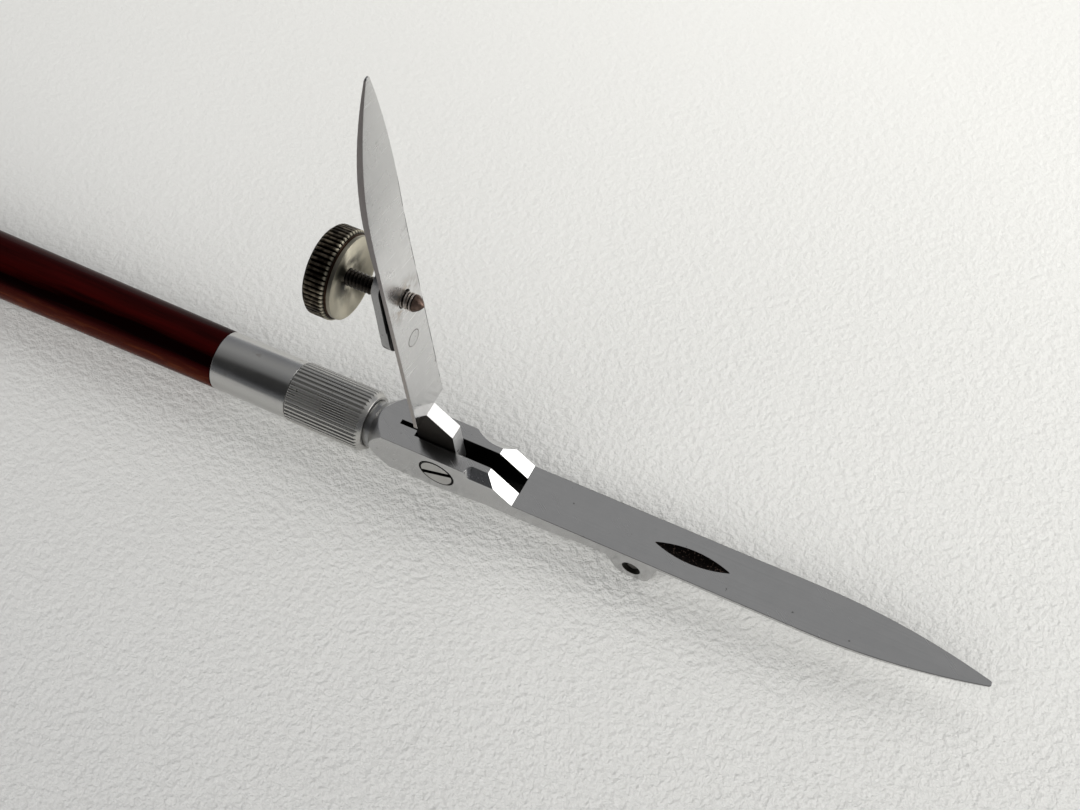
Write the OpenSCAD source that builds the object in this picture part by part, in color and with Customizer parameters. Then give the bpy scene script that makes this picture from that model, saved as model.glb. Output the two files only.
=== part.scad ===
// Ruling pen with a cross joint: the upper blade swings up on a pivot screw for cleaning.
// Millimetres. X runs along the pen to the blade tip, Y across it, Z up.
// The origin is the middle of the flat underside of the lug that the pen rests on.
// Inside in_pen_frame() x = 0 is the foot of the head's bevel and z = 0 the pen's axis,
// which is also the inner face of the lower blade.

/* [Blades] */
// Width of both blades and of the head
blade_w = 4.7; // [4.2:0.1:6]
// Length of the lower blade from the foot of the bevel to its tip
blade_len = 45.3; // [38:0.1:55]
// Thickness of the lower blade ahead of the lug
lower_t = 0.45; // [0.35:0.05:0.7]
// Thickness of the upper blade
upper_t = 0.4; // [0.3:0.05:0.6]
// Gap between the inner faces of the closed blades at the root
root_gap = 1.05; // [0.9:0.05:1.3]
// Radius of the arcs that draw both blades in to the tip
nose_r = 68; // [40:1:100]
// Radius of the rounded tip
tip_r = 0.3; // [0.2:0.05:0.6]
// Length of the upper blade that stays flat before it bows inwards
flat_len = 22.6; // [22:0.1:28]
// Radius of the upper blade's bow
bow_r = 205; // [180:1:400]
// Radius of the upper blade's rounded back, which thickens it before the tip
back_r = 105; // [95:1:150]
// Thickness that both blades are ground down to at the tip
nib_t = 0.2; // [0.15:0.01:0.25]
// Length of the lower blade over which its underside is ground thin
nib_len = 18; // [10:1:22]
// Distance of the upper blade's square shoulder behind the foot of the bevel
shoulder_back = 0.6; // [0.4:0.05:0.8]

/* [Head] */
// Height of the forked head
head_h = 5.3; // [5:0.1:6]
// Slope of the bevels in front of the head, in degrees
bevel_deg = 45; // [40:1:50]
// Distance from the foot of the bevel to the full section of the head
head_len = 13.4; // [12.8:0.1:16]
// Length of the cone that joins the head to its round neck
head_cone_len = 1.85; // [1.4:0.05:4]
// Radius of the neck
neck_r = 2.3; // [2:0.05:2.45]
// Length of the bare neck between the head and the collar
neck_len = 0.65; // [0.4:0.05:2]
// Width of the slot between the cheeks
slot_w = 1.62; // [1.4:0.02:2]
// Distance from the foot of the bevel to the rear wall of the slot
slot_rear = 10.7; // [10.6:0.05:11.5]
// Width of the spring slit behind the slot
slit_w = 0.4; // [0.3:0.05:0.6]
// Length of the spring slit
slit_len = 1.85; // [1:0.05:2]
// Leg of the milled facets on the outer top corners of the cheeks
facet = 0.9; // [0.5:0.02:1]
// Distance from the foot of the bevel to the rear end of the near facet
near_facet_rear = 4.2; // [3.5:0.1:4.6]
// Radius of the steep run-out behind the near facet
near_run_r = 0.5; // [0.2:0.05:0.8]
// Distance from the foot of the bevel to the rear end of the far facet
far_facet_rear = 3.3; // [2.8:0.1:4]
// Radius of the long run-out behind the far facet
far_run_r = 5; // [2:0.1:6]

/* [Underside] */
// Depth of the cheeks below the blade, just ahead of the pivot
belly_z = 2.02; // [1.9:0.02:2.4]
// Depth of the cheeks below the blade, just behind the lug
rail_z = 1.5; // [1.2:0.05:1.8]
// Depth of the lug's flat underside below the blade
lug_z = 3.85; // [3.6:0.05:4.6]
// Distance of the lug's middle ahead of the foot of the bevel
lug_x = 12.05; // [11.5:0.05:13.5]
// Distance from the lug's middle to the foot of its rear slope
lug_back = 2.55; // [2.4:0.05:3]
// Length of the level underside behind the lug
rail_len = 2.2; // [1:0.1:3]
// Distance from the foot of the bevel to either end of the level belly
belly_reach = 3; // [2:0.1:3.4]
// Thickness of the blade over the spring channel
channel_roof = 0.7; // [0.5:0.05:0.8]
// Length of the lug's flat underside
lug_flat = 1.7; // [1.4:0.1:2.4]
// Radius of the lug's bottom corners
lug_r = 0.85; // [0.6:0.05:1]
// Length from the lug's middle to where it meets the thin blade
lug_front = 2.7; // [2.4:0.1:3.2]

/* [Pivot] */
// Distance of the pivot behind the foot of the bevel
pivot_back = 7.9; // [7.7:0.05:8]
// Height of the pivot above the pen's axis
pivot_z = 0.15; // [0:0.05:0.3]
// How far the upper blade stands open, in degrees from closed
open_deg = 90; // [60:1:95]
// Radius of the pivot screw's flush head
pivot_head_r = 1.72; // [1.4:0.02:1.9]
// Thickness of the pivot screw's head
pivot_head_t = 0.7; // [0.5:0.05:0.9]
// Radius of the pivot screw's plain shoulder
pivot_r = 0.95; // [0.7:0.05:1.1]
// Radius of the pivot screw's end in the far cheek
pivot_end_r = 0.75; // [0.5:0.05:0.9]
// Width of the driver slot
driver_w = 0.5; // [0.25:0.01:0.6]
// Depth of the driver slot
driver_d = 0.35; // [0.2:0.05:0.45]
// Turn of the driver slot from the pen's axis, in degrees
driver_deg = 20; // [0:1:90]
// Radius of the tongue's heel round the pivot
heel_r = 1.5; // [1.4:0.05:1.6]
// How far the tongue's top corner lies behind the pivot when closed
tongue_back = 0.5; // [0.2:0.05:0.6]
// How far the closed tongue lies below the top of the head
tongue_flush = 0.05; // [0.02:0.01:0.2]

/* [Back spring] */
// Thickness of the back spring
spring_t = 0.75; // [0.5:0.05:0.8]
// Distance of the spring's free end from the slot's rear wall
spring_gap = 0.6; // [0.3:0.05:1]
// Height of the spring's eye in the lug
spring_eye_h = 1.6; // [1.5:0.1:1.8]
// Radius of the cross pin that holds the spring in the lug
cross_pin_r = 0.5; // [0.4:0.05:0.6]
// Depth of the cross pin's axis below the blade
cross_pin_z = 2.25; // [2.2:0.05:2.4]
// Radius of the countersinks round the cross pin's ends
sink_r = 0.92; // [0.8:0.02:1.1]
// How far the cross pin's ends lie below the sides of the lug
pin_recess = 0.3; // [0.1:0.02:0.4]

/* [Thumbscrew] */
// Distance of the screw's axis from the upper blade's shoulder
screw_at = 17.4; // [16:0.1:19]
// Radius of the screw
screw_r = 0.78; // [0.7:0.02:0.9]
// How far the screw's tip stands out of the upper blade's inner face
tip_out = 1.9; // [1.7:0.05:2]
// Length of the rounded cone on the tip piece
cone_len = 1.25; // [1:0.05:1.4]
// Radius of the arc that rounds the cone's flank
cone_arc_r = 1.5; // [1.45:0.05:4]
// Radius of the tip piece's stem inside the screw
stem_r = 0.34; // [0.25:0.02:0.4]
// Length of the stem
stem_len = 1.3; // [0.8:0.1:2]
// Radius of the knob over its knurl
knob_r = 4.04; // [3.9:0.01:4.6]
// Width of the knob's knurled rim
rim_w = 2.14; // [1.2:0.02:2.4]
// Distance of the knob's rim from the upper blade's inner face
knob_at = 5.55; // [5:0.01:7]
// Radius of the plain step in front of the rim
step_r = 3.72; // [3.3:0.01:3.8]
// Width of the plain step
step_w = 0.55; // [0.3:0.05:0.8]
// Width of the lip round the knob's dished face
lip_w = 0.2; // [0.1:0.05:0.4]
// Depth of the dish in the knob's face
dish = 0.45; // [0.2:0.05:0.8]
// Chamfer at the back of the knob's rim
knob_chamfer = 0.35; // [0.2:0.05:0.5]
// Number of teeth round the knob
knob_teeth = 56; // [30:1:70]
// Depth of the knob's teeth
knob_tooth = 0.28; // [0.15:0.01:0.4]

/* [Nut plate] */
// Width of the nut plate
plate_w = 4.2; // [3.6:0.1:4.2]
// Thickness of the nut plate
plate_t = 0.75; // [0.6:0.05:1.2]
// How far the nut plate's end by the hinge stands off the blade
plate_gap = 0.36; // [0:0.02:0.5]
// Distance from the screw to the bend where the plate leaves the blade
plate_bend = 1.4; // [1.2:0.1:3]
// Distance from the screw to the nut plate's round end by the hinge
plate_reach = 6.95; // [6.8:0.05:7.5]
// Distance of the rivet from the screw
rivet_back = 5.85; // [5.5:0.05:6]
// Radius of the rivet's shank
rivet_r = 0.5; // [0.4:0.05:0.6]
// Radius of the rivet's countersunk end in the upper blade
rivet_end_r = 0.85; // [0.7:0.05:1]

/* [Screw seat] */
// Length of the lens-shaped seat in the lower blade
seat_len = 7.6; // [6:0.1:9]
// Width of the seat at the inner face
seat_w = 1.4; // [1.3:0.02:1.7]
// Depth of the seat, which stays blind
seat_d = 0.3; // [0.2:0.02:0.32]
// Distance of the seat's middle ahead of the screw, so that the tip can settle
seat_shift = 0.3; // [0:0.05:0.5]

/* [Collar and ferrule] */
// Radius of the knurled collar
collar_r = 3; // [2.9:0.05:3.4]
// Length of the knurled collar
collar_len = 8.3; // [6:0.1:11]
// Length of the polished cone at the collar's front
collar_cone = 0.55; // [0.3:0.05:0.8]
// Radius of the collar's front face
collar_face_r = 2.62; // [2.6:0.02:2.8]
// Chamfer at the collar's rear rim
collar_rim = 0.15; // [0.1:0.01:0.2]
// Depth of the collar's recess round the neck
collar_recess = 0.3; // [0.2:0.05:0.5]
// Number of knurl ridges
collar_ridges = 40; // [30:1:60]
// Depth of the knurl grooves
knurl_d = 0.16; // [0.1:0.01:0.25]
// Radius of the ferrule
ferrule_r = 2.92; // [2.6:0.02:2.98]
// Length of the ferrule
ferrule_len = 8.35; // [6:0.05:12]
// Radius of the head's shank inside the collar and ferrule
shank_r = 1.6; // [1.3:0.05:1.8]
// How far the shank reaches into the ferrule
shank_reach = 5.3; // [4:0.1:5.6]

/* [Handle] */
// Length of the handle
handle_len = 66; // [50:1:90]
// Radius of the handle at its widest
handle_r = 3.4; // [3.2:0.05:3.8]
// Length of the handle's drawn-in rear end
handle_end_len = 13; // [8:1:20]
// Radius of the arc that draws the rear end in
handle_end_r = 34; // [33:1:60]
// Radius of the tang
tang_r = 1.25; // [1:0.05:1.5]
// Length of the tang inside the handle
tang_len = 20; // [12:1:30]

/* [Clearances] */
// Running clearance round the pivot, the screw and the tip's stem
run_clear = 0.04; // [0.02:0.01:0.08]
// Clearance of the tongue and the spring from each cheek
side_clear = 0.06; // [0.04:0.01:0.1]
// Clearance of the tongue from the slot's rear wall and the spring
sweep_clear = 0.1; // [0.05:0.01:0.15]
// Clearance ahead of the spring's eye in its pocket
pocket_clear = 0.2; // [0.1:0.05:0.3]
// Clearance of the screw in the upper blade
hole_clear = 0.1; // [0.06:0.02:0.2]
// Gap round the pivot screw's head in its recess
head_gap = 0.1; // [0.04:0.01:0.12]
// Distance of the nut plate's front end from the upper blade's rounded back
plate_clear = 0.2; // [0.1:0.05:0.4]

/* [Hidden] */
$fn = 96;
cut = 1;
// Where a knurl ridge's crest starts and ends, as shares of one ridge
crest = [0.3, 0.7];

half_w = blade_w / 2;
half_h = head_h / 2;
bevel_run = half_h / tan(bevel_deg);
pivot = [-pivot_back, pivot_z];
collar_front = -(head_len + head_cone_len + neck_len);
collar_seat = collar_front - collar_recess;
ferrule_front = collar_front - collar_len;
shank_end = ferrule_front - shank_reach;
handle_front = ferrule_front - ferrule_len;
handle_rear = handle_front - handle_len;

nose_run = sqrt(pow(nose_r - tip_r, 2) - pow(nose_r - half_w, 2));
nose_x = blade_len - tip_r - nose_run;
nose_end = nose_x + nose_run * nose_r / (nose_r - tip_r);

tongue_w = slot_w - 2 * side_clear;
tongue_z = pivot_z - heel_r;
tongue_top = half_h - tongue_flush;
tongue_rear = pivot.x - tongue_back;
spring_top = tongue_z - sweep_clear;
spring_w = slot_w - 2 * side_clear;
spring_rear = spring_gap - slot_rear;
pocket_front = lug_x + spring_eye_h / 2 + pocket_clear;
pocket_z = cross_pin_z + spring_eye_h / 2 + side_clear;

screw_x = screw_at - shoulder_back;
bow_x = flat_len - shoulder_back;
bow_len = blade_len - bow_x;
tip_drop = bow_r - sqrt(pow(bow_r, 2) - pow(bow_len, 2));
nib_x = blade_len - nib_len;
nib_r = pow(nib_len, 2) / (2 * (lower_t - nib_t));
outer_z = root_gap + upper_t;
back_c = arc_centre([bow_x, outer_z], [blade_len, root_gap - tip_drop + nib_t], back_r);
plate_front = bow_x - screw_x - plate_clear;
plate_lift = plate_gap * (rivet_back - plate_bend) / (plate_reach - plate_bend);
tip_z = root_gap - tip_out;
cone_z = tip_z + cone_len;

// Point where a line from p touches the circle round c, on its left (1) or right (-1)
function touch(c, r, p, side) =
    let (d = p - c, a = atan2(d.y, d.x) + side * acos(r / norm(d)))
    c + r * [cos(a), sin(a)];

// Centre of the arc of radius r that runs from a to b and bulges to its left
function arc_centre(a, b, r) =
    let (d = b - a, half = norm(d) / 2)
    (a + b) / 2 + sqrt(pow(r, 2) - pow(half, 2)) * [d.y, -d.x] / norm(d);

// Moves the pen's own frame to the underside of the lug
module in_pen_frame() {
    translate([-lug_x, 0, lug_z]) children();
}

// Swings a closed piece of the upper blade's assembly to the open rest position
module swung_open() {
    in_pen_frame()
        translate([pivot.x, 0, pivot.y])
            rotate([0, -open_deg, 0])
                translate([-pivot.x, 0, -pivot.y]) children();
}

// Extrudes an X-Z outline across the pen
module across(w) {
    rotate([90, 0, 0]) linear_extrude(height = w, center = true) children();
}

// Cylinder along the pen's axis between two places
module along(x0, x1, r) {
    translate([min(x0, x1), 0, 0]) rotate([0, 90, 0]) cylinder(h = abs(x1 - x0), r = r);
}

// Plan outline shared by both blades, from x0 to the tip
module blade_plan(x0) {
    translate([x0, -half_w]) square([nose_x - x0, blade_w]);
    intersection() {
        translate([nose_x - cut, -half_w]) square([nose_end - nose_x + cut, blade_w]);
        translate([nose_x, half_w - nose_r]) circle(nose_r, $fn = 720);
        translate([nose_x, nose_r - half_w]) circle(nose_r, $fn = 720);
    }
    translate([blade_len - tip_r, 0]) circle(tip_r);
}

// Straight-knurled disc outline with vee grooves
module knurl_plan(r, teeth, depth) {
    step = 360 / teeth;
    ridge = [[0, r - depth], [crest[0], r], [crest[1], r]];
    polygon([
        for (i = [0 : teeth - 1], k = ridge)
            k[1] * [cos((i + k[0]) * step), sin((i + k[0]) * step)]
    ]);
}

// Side outline of the head, the cheeks and the lug
module body_side() {
    rear_c = [lug_x - lug_flat / 2, lug_r - lug_z];
    front_c = [lug_x + lug_flat / 2, lug_r - lug_z];
    rear_p = [lug_x - lug_back, -rail_z];
    front_p = [lug_x + lug_front, -lower_t];
    polygon([
        [-head_len, half_h], [-bevel_run, half_h], [0, 0], [front_p.x, 0], front_p,
        touch(front_c, lug_r, front_p, -1), front_c + [0, -lug_r],
        rear_c + [0, -lug_r], touch(rear_c, lug_r, rear_p, 1), rear_p,
        [rear_p.x - rail_len, -rail_z], [belly_reach, -belly_z], [-belly_reach, -belly_z],
        [pivot.x, -half_h], [-head_len, -half_h]
    ]);
    translate(rear_c) circle(lug_r);
    translate(front_c) circle(lug_r);
}

// Rear of the head, turned to a cone, with the neck and the shank behind it
module head_rear() {
    rear = -(head_len + head_cone_len);
    corner_r = norm([half_w, half_h]);
    slope = (corner_r - neck_r) / head_cone_len;
    intersection() {
        translate([rear, -half_w, -half_h]) cube([head_cone_len + cut / 2, blade_w, head_h]);
        translate([rear, 0, 0]) rotate([0, 90, 0])
            cylinder(h = head_cone_len + cut, r1 = neck_r, r2 = corner_r + cut * slope);
    }
    along(collar_seat, rear + cut / 2, neck_r);
    along(shank_end, collar_seat + cut / 2, shank_r);
}

// Milled facet on one cheek's outer top corner, with the hollow that the cutter leaves behind it
module cheek_facet(rear, run_r) {
    width = facet * sqrt(2);
    translate([0, -half_w, half_h - facet]) rotate([45, 0, 0]) translate([-rear, -cut, 0]) {
        cube([rear + cut, width + 2 * cut, width]);
        translate([-run_r, 0, run_r]) cube([rear, width + 2 * cut, width]);
        translate([0, 0, run_r]) rotate([-90, 0, 0]) cylinder(h = width + 2 * cut, r = run_r);
    }
}

// Lens-shaped seat, as a vee-edged disc cutter leaves it
module seat_cutter() {
    wall = seat_w / 2 / seat_d;
    disc_r = (pow(seat_len / 2, 2) + pow(seat_d, 2)) / (2 * seat_d);
    translate([screw_x + seat_shift, 0, disc_r - seat_d]) rotate([90, 0, 0])
        rotate_extrude($fn = 180)
            polygon([[0, -wall * disc_r], [disc_r, 0], [0, wall * disc_r]]);
}

// Thin front of the lower blade, its underside ground away on a long arc to the tip
module lower_plate() {
    intersection() {
        translate([0, 0, -lower_t]) linear_extrude(height = lower_t) blade_plan(lug_x);
        union() {
            translate([lug_x, -half_w, -lower_t]) cube([nib_x - lug_x, blade_w, lower_t]);
            translate([nib_x, 0, nib_r - lower_t]) rotate([90, 0, 0])
                cylinder(h = blade_w, r = nib_r, center = true, $fn = 720);
        }
    }
}

module lower_blade() {
    color("silver") in_pen_frame() difference() {
        union() {
            across(blade_w) body_side();
            head_rear();
            lower_plate();
        }
        // Slot for the tongue, spring slit and spring channel
        translate([-slot_rear, -slot_w / 2, -half_h - cut]) cube([slot_rear, slot_w, head_h + 2 * cut]);
        translate([-slot_rear - slit_len, -slit_w / 2, -half_h - cut])
            cube([slit_len + cut, slit_w, head_h + 2 * cut]);
        translate([-cut, -slot_w / 2, -pocket_z]) cube([pocket_front + cut, slot_w, pocket_z - channel_roof]);
        translate([-cut, -slot_w / 2, -half_h - cut])
            cube([lug_x - lug_flat / 2 - lug_r + cut, slot_w, half_h + cut - channel_roof]);
        cheek_facet(near_facet_rear, near_run_r);
        mirror([0, 1, 0]) cheek_facet(far_facet_rear, far_run_r);
        // Pivot: head recess in the near cheek, shoulder bore, end bore in the far cheek
        translate([pivot.x, 0, pivot.y]) rotate([90, 0, 0]) {
            translate([0, 0, half_w - pivot_head_t])
                cylinder(h = pivot_head_t + cut, r = pivot_head_r + head_gap);
            cylinder(h = half_w, r = pivot_r);
            translate([0, 0, -half_w - cut]) cylinder(h = half_w + 2 * cut, r = pivot_end_r);
        }
        // Cross pin bore with its countersinks
        translate([lug_x, 0, -cross_pin_z]) rotate([90, 0, 0]) {
            cylinder(h = blade_w + 2 * cut, r = cross_pin_r, center = true);
            for (side = [0, 1]) mirror([0, 0, side])
                translate([0, 0, half_w - (sink_r - cross_pin_r)])
                    cylinder(h = sink_r - cross_pin_r, r1 = cross_pin_r, r2 = sink_r);
        }
        seat_cutter();
    }
}

module pivot_screw() {
    color("lightsteelblue") in_pen_frame() translate([pivot.x, 0, pivot.y]) rotate([90, 0, 0]) difference() {
        union() {
            translate([0, 0, half_w - pivot_head_t]) cylinder(h = pivot_head_t, r = pivot_head_r);
            translate([0, 0, -slot_w / 2]) cylinder(h = slot_w / 2 + half_w - pivot_head_t, r = pivot_r);
            translate([0, 0, -half_w]) cylinder(h = half_w, r = pivot_end_r);
        }
        rotate([0, 0, driver_deg]) translate([-pivot_head_r - cut, -driver_w / 2, half_w - driver_d])
            cube([2 * pivot_head_r + 2 * cut, driver_w, driver_d + cut]);
    }
}

module back_spring() {
    color("slategray") in_pen_frame() difference() {
        across(spring_w) {
            translate([spring_rear, spring_top - spring_t]) square([lug_x - spring_rear, spring_t]);
            translate([lug_x, -cross_pin_z]) circle(spring_eye_h / 2);
        }
        translate([lug_x, 0, -cross_pin_z]) rotate([90, 0, 0])
            cylinder(h = blade_w, r = cross_pin_r, center = true);
    }
}

module cross_pin() {
    color("gainsboro") in_pen_frame() translate([lug_x, 0, -cross_pin_z]) rotate([90, 0, 0])
        cylinder(h = blade_w - 2 * pin_recess, r = cross_pin_r, center = true);
}

// Side outline of the tongue with the blades closed
module tongue_side() {
    shoulder = -shoulder_back;
    drop = root_gap - tongue_z;
    heel_touch = touch(pivot, heel_r, [tongue_rear, tongue_top], 1);
    polygon([
        [shoulder + cut, root_gap], [shoulder, root_gap], [shoulder - drop / tan(bevel_deg), tongue_z],
        [pivot.x, tongue_z], pivot, heel_touch, [tongue_rear, tongue_top],
        [-tongue_top / tan(bevel_deg), tongue_top], [-outer_z / tan(bevel_deg), outer_z],
        [shoulder + cut, outer_z]
    ]);
    translate(pivot) circle(heel_r);
}

// Upper blade as it lies closed: flat at the root, then with a rounded back down to the tip
module upper_plate() {
    translate([-shoulder_back, -half_w, root_gap]) cube([bow_x + shoulder_back, blade_w, upper_t]);
    intersection() {
        translate([0, 0, root_gap - head_h]) linear_extrude(height = 2 * head_h) blade_plan(bow_x);
        translate([back_c.x, 0, back_c.y]) rotate([90, 0, 0])
            cylinder(h = blade_w, r = back_r, center = true, $fn = 720);
    }
}

module upper_blade() {
    color("silver") swung_open() difference() {
        union() {
            difference() {
                upper_plate();
                translate([bow_x, 0, root_gap - bow_r]) rotate([90, 0, 0])
                    cylinder(h = blade_w + cut, r = bow_r, center = true, $fn = 720);
            }
            across(tongue_w) tongue_side();
        }
        translate([pivot.x, 0, pivot.y]) rotate([90, 0, 0])
            cylinder(h = blade_w, r = pivot_r + run_clear, center = true);
        translate([screw_x, 0, root_gap - cut]) cylinder(h = upper_t + 2 * cut, r = screw_r + hole_clear);
        translate([screw_x - rivet_back, 0, root_gap]) rivet_form();
    }
}

// Rivet from the blade's inner face up: a countersunk end and a shank to the plate's outer face
module rivet_form() {
    cylinder(h = upper_t, r1 = rivet_end_r, r2 = rivet_r);
    cylinder(h = upper_t + plate_lift + plate_t, r = rivet_r);
}

module plate_rivet() {
    color("tan") swung_open() translate([screw_x - rivet_back, 0, root_gap]) rivet_form();
}

// Nut plate: a round-ended leaf that lies on the blade and bends off it towards the hinge
module nut_plate() {
    ends = [plate_w / 2 - plate_reach, plate_front - plate_w / 2];
    top_z = plate_gap + plate_t;
    color("dimgray") swung_open() translate([screw_x, 0, outer_z]) difference() {
        intersection() {
            linear_extrude(height = top_z) {
                translate([ends[0], -plate_w / 2]) square([ends[1] - ends[0], plate_w]);
                for (x = ends) translate([x, 0]) circle(plate_w / 2);
            }
            across(plate_w) polygon([
                [plate_front, 0], [-plate_bend, 0], [-plate_reach, plate_gap],
                [-plate_reach, top_z], [-plate_bend, plate_t], [plate_front, plate_t]
            ]);
        }
        translate([0, 0, -cut]) cylinder(h = top_z + 2 * cut, r = screw_r + run_clear);
        translate([-rivet_back, 0, -cut]) cylinder(h = top_z + 2 * cut, r = rivet_r);
    }
}

module thumb_knob() {
    color("wheat") swung_open() translate([screw_x, 0, root_gap + knob_at]) difference() {
        union() {
            intersection() {
                linear_extrude(height = rim_w) knurl_plan(knob_r, knob_teeth, knob_tooth);
                cylinder(h = rim_w, r1 = knob_r + rim_w - knob_chamfer, r2 = knob_r - knob_chamfer);
            }
            translate([0, 0, -step_w]) cylinder(h = step_w, r = step_r);
        }
        translate([0, 0, -step_w]) cylinder(h = dish, r1 = step_r - lip_w, r2 = screw_r);
        translate([0, 0, -step_w - cut]) cylinder(h = rim_w + step_w + cut - knob_chamfer, r = screw_r);
    }
}

module screw_shank() {
    top = root_gap + knob_at + rim_w - knob_chamfer;
    color("darkslategray") swung_open() translate([screw_x, 0, 0]) difference() {
        translate([0, 0, cone_z + run_clear]) cylinder(h = top - cone_z - run_clear, r = screw_r);
        translate([0, 0, cone_z - cut]) cylinder(h = cut + stem_len + 2 * run_clear, r = stem_r + run_clear);
    }
}

// Rounded cone that seats in the lower blade, on a stem that stays still while the screw turns
module screw_tip() {
    flank = norm([screw_r, cone_len]);
    outward = [cone_len, -screw_r] / flank;
    centre = [screw_r, -cone_len] / 2 - outward * sqrt(pow(cone_arc_r, 2) - pow(flank / 2, 2));
    color("peru") swung_open() translate([screw_x, 0, cone_z]) {
        rotate_extrude() intersection() {
            translate([0, -cone_len]) square([screw_r, cone_len]);
            translate(centre) circle(cone_arc_r);
        }
        translate([0, 0, -stem_r]) cylinder(h = stem_len + stem_r, r = stem_r);
    }
}

module knurled_collar() {
    color("gray") in_pen_frame() difference() {
        intersection() {
            translate([ferrule_front, 0, 0]) rotate([90, 0, 90])
                linear_extrude(height = collar_len) knurl_plan(collar_r, collar_ridges, knurl_d);
            translate([ferrule_front, 0, 0]) rotate([90, 0, 90]) rotate_extrude()
                polygon([
                    [0, 0], [collar_r - collar_rim, 0], [collar_r, collar_rim], [collar_r, collar_len - collar_cone],
                    [collar_face_r, collar_len], [0, collar_len]
                ]);
        }
        along(collar_seat, collar_front + cut, neck_r);
        along(ferrule_front - cut, collar_front, shank_r);
    }
}

module ferrule() {
    color("lightgray") in_pen_frame() difference() {
        along(handle_front, ferrule_front, ferrule_r);
        along(shank_end, ferrule_front + cut, shank_r);
        along(handle_front - cut, shank_end + cut, tang_r);
    }
}

module handle_tang() {
    color("dimgray") in_pen_frame() along(shank_end, handle_front - tang_len, tang_r);
}

module handle() {
    swell_x = handle_len - handle_end_len;
    color([0.2, 0.02, 0.02]) in_pen_frame() difference() {
        translate([handle_front, 0, 0]) rotate([0, -90, 0]) rotate_extrude() {
            polygon([[0, 0], [ferrule_r, 0], [handle_r, swell_x], [0, swell_x]]);
            intersection() {
                translate([0, swell_x]) square([handle_r, handle_end_len]);
                translate([handle_r - handle_end_r, swell_x]) circle(handle_end_r, $fn = 720);
            }
        }
        along(handle_front - tang_len, handle_front + cut, tang_r);
    }
}

handle();
handle_tang();
ferrule();
knurled_collar();
lower_blade();
pivot_screw();
back_spring();
cross_pin();
upper_blade();
nut_plate();
plate_rivet();
thumb_knob();
screw_shank();
screw_tip();
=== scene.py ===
"""Ruling pen with its upper blade swung open, lying on a sheet of drawing paper."""
import math

import bpy
from mathutils import Matrix, Vector


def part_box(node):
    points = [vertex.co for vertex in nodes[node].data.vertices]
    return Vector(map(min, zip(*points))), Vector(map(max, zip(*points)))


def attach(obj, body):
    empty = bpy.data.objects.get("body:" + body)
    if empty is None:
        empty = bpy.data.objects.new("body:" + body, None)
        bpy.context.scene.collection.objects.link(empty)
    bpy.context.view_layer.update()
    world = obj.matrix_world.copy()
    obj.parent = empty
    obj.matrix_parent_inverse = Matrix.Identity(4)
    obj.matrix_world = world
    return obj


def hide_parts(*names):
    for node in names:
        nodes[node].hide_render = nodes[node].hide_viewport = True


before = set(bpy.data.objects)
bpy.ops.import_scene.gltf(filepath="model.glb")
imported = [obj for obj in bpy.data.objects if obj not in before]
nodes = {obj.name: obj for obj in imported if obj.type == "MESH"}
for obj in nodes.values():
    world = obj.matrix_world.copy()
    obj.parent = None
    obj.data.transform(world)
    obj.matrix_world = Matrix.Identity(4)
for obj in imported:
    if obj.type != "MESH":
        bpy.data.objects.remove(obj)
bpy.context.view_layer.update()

MM = 0.001
TURN = 2 * math.pi
ALONG = Vector((1, 0, 0))

# Camera, in metres: the photograph's viewing angle
CAMERA_PLACE = Vector((0.044928, -0.076868, 0.170263))
CAMERA_RIGHT = Vector((0.88172, 0.46529, -0.07789)).normalized()
CAMERA_UP = Vector((-0.36070, 0.77130, 0.52440)).normalized()
CAMERA_LENS = 69.80

# Lamps that face the origin, as name, place and size in metres, watts, and whether the metal mirrors them:
# a window low on the far right, and soft fills from a pale room
LAMPS = (
    ("window", Vector((0.378, 0.198, 0.140)), (0.28, 0.18), 0.62, True),
    ("far_fill", Vector((0.06, 0.30, 0.25)), (0.6, 0.4), 0.78, False),
    ("near_fill", Vector((0.0, -0.5, 0.5)), (1.2, 0.8), 5.8, False),
)
# The viewer, who stands dark against the room in what the metal mirrors
VIEWER_WAY = Vector((-0.25, -0.66, 0.71)).normalized()
VIEWER_FULL_DEG = 18
VIEWER_GONE_DEG = 30
VIEWER_LIGHT = 0.28
# The room's light by height of direction, and how much dimmer it is on the near side
ROOM_STOPS = (
    (0.0, (0.95, 0.95, 0.93)), (0.12, (0.34, 0.35, 0.37)), (0.4, (0.25, 0.255, 0.27)),
    (0.8, (0.36, 0.36, 0.36)), (1.0, (0.33, 0.335, 0.34)),
)
ROOM_NEAR_LIGHT = 0.45
ROOM_SIDE = 0.3
LAMP_COLOUR = (1.0, 0.99, 0.97)
FLOOR_SIZE = 6.0

# Painted light: the paper's colour gets lighter towards the window, from one place to another along a
# slanting way, in metres
PAPER_WAY = (0.3, 0.95)
PAPER_FROM, PAPER_TO = -0.05, 0.06
PAPER_PAINTED_DIM = (0.625, 0.625, 0.617, 1)
PAPER_PAINTED_LIT = (0.92, 0.918, 0.885, 1)
# Its grain gets coarser towards the near right
TOOTH_WAY = (0.6, -0.8)
TOOTH_FROM, TOOTH_TO = -0.06, 0.06
TOOTH_FINE, TOOTH_COARSE = 0.17, 1.0
TOOTH_DEPTH = 0.85
FELT_DEPTH = 0.25

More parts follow.
